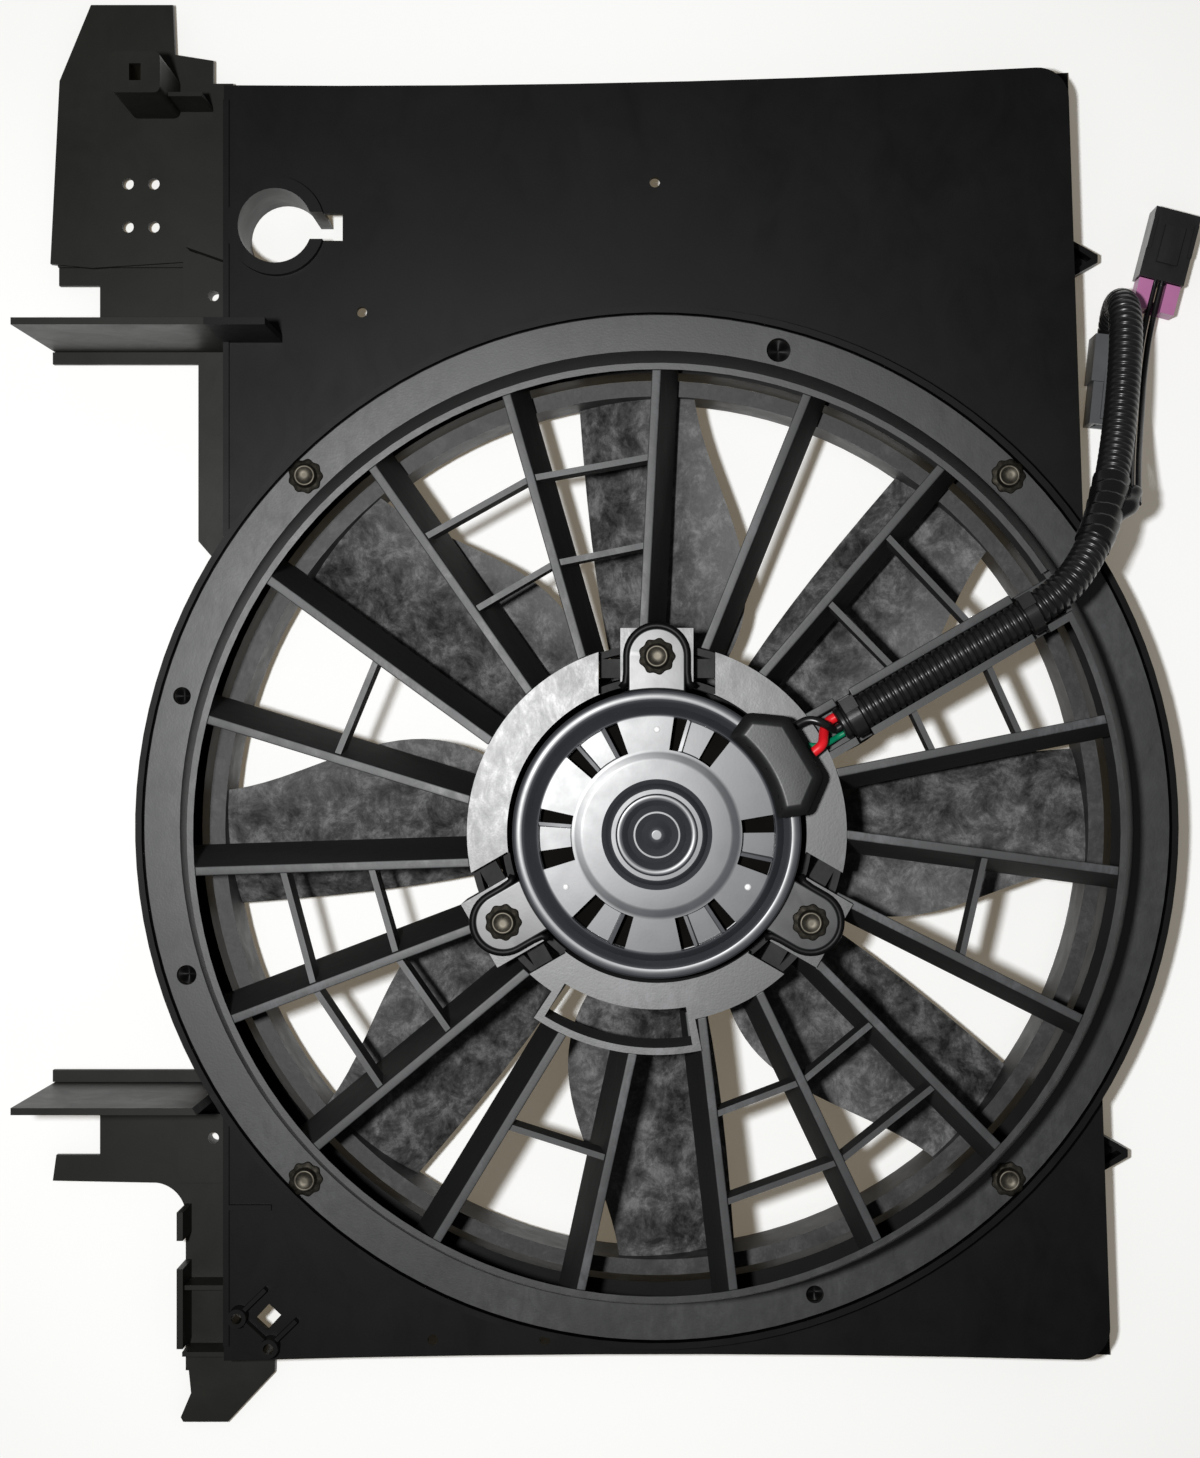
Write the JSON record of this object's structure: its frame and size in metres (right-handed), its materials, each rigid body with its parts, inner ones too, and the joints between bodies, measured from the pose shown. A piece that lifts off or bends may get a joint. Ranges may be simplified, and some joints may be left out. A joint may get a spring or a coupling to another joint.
{
  "type": "radiator fan shroud",
  "caption": "Moulded shroud with a bolted stator-vane guard, a ringed axial fan on an electric motor and a conduit harness with two plugs.",
  "frame": {"origin": "centre of the shroud's outline on the plane of its radiator-side edges, with the harness and plugs left out", "axes": "+Z from the radiator side to the motor side, along the fan's axis and the part's least depth; +Y along the shroud's longest side, towards the end with the stepped arm; +X towards the side with the small pegs, which carries the plugs"},
  "size_m": [0.4524, 0.5594, 0.112],
  "materials": {
    "black_plastic": "moulded, satin",
    "guard_plastic": "moulded, satin",
    "zinc": "zinc plated",
    "motor_paint": "black paint, semi-gloss",
    "ferrite": "ground ferrite",
    "card_plastic": "phenolic board",
    "carbon": "pressed carbon",
    "spring_steel": "drawn wire",
    "bronze": "oiled sintered bronze",
    "cover_plastic": "moulded, grained",
    "red_insulation": "extruded",
    "green_insulation": "extruded",
    "black_insulation": "extruded",
    "conduit_plastic": "corrugated, split",
    "tie_nylon": "moulded nylon",
    "tape": "cloth tape",
    "gray_plug_plastic": "moulded, satin",
    "plug_plastic": "moulded, satin",
    "lock_plastic": "moulded, satin",
    "fan_plastic": "glass-filled, mottled",
    "steel": "ground",
    "core_steel": "laminated, varnished",
    "copper": "enamelled copper",
    "copper_bars": "turned copper"
  },
  "bodies": {
    "shroud": {"shroud_panel": "black_plastic", "upper_bracket": "black_plastic", "lower_bracket": "black_plastic", "guard_ring": "guard_plastic", "guard_hub": "guard_plastic", "guard_vanes": "guard_plastic", "guard_ties": "guard_plastic", "wire_channel": "guard_plastic", "ring_screws": "zinc", "motor_screws": "zinc", "motor_can": "motor_paint", "motor_end_cap": "motor_paint", "field_magnets": "ferrite", "brush_card": "card_plastic", "carbon_brushes": "carbon", "brush_springs": "spring_steel", "rear_bearing": "bronze", "front_bearing": "bronze", "wire_cover": "cover_plastic", "red_motor_lead": "red_insulation", "green_motor_lead": "green_insulation", "black_motor_lead": "black_insulation", "conduit": "conduit_plastic", "cable_ties": "tie_nylon", "tape_wrap": "tape", "power_plug": "gray_plug_plastic", "inner_sensor_lead": "black_insulation", "outer_sensor_lead": "black_insulation", "sensor_plug": "plug_plastic"},
    "fan": {"fan_hub": "fan_plastic", "fan_blades": "fan_plastic", "fan_ring": "fan_plastic", "fan_nut": "zinc", "motor_shaft": "steel", "armature_core": "core_steel", "armature_winding": "copper", "commutator": "copper_bars"},
    "lock": {"plug_lock": "lock_plastic"}
  },
  "joints": [
    {"name": "fan_spin", "type": "hinge", "parent": "shroud", "child": "fan", "pos_m": [0.0199, -0.0433, 0.03], "axis": [0, 0, 1], "continuous": true},
    {"name": "lock_slide", "type": "slide", "parent": "shroud", "child": "lock", "axis": [-0.2504, -0.9681, 0], "range_m": [0, 0.003]}
  ]
}
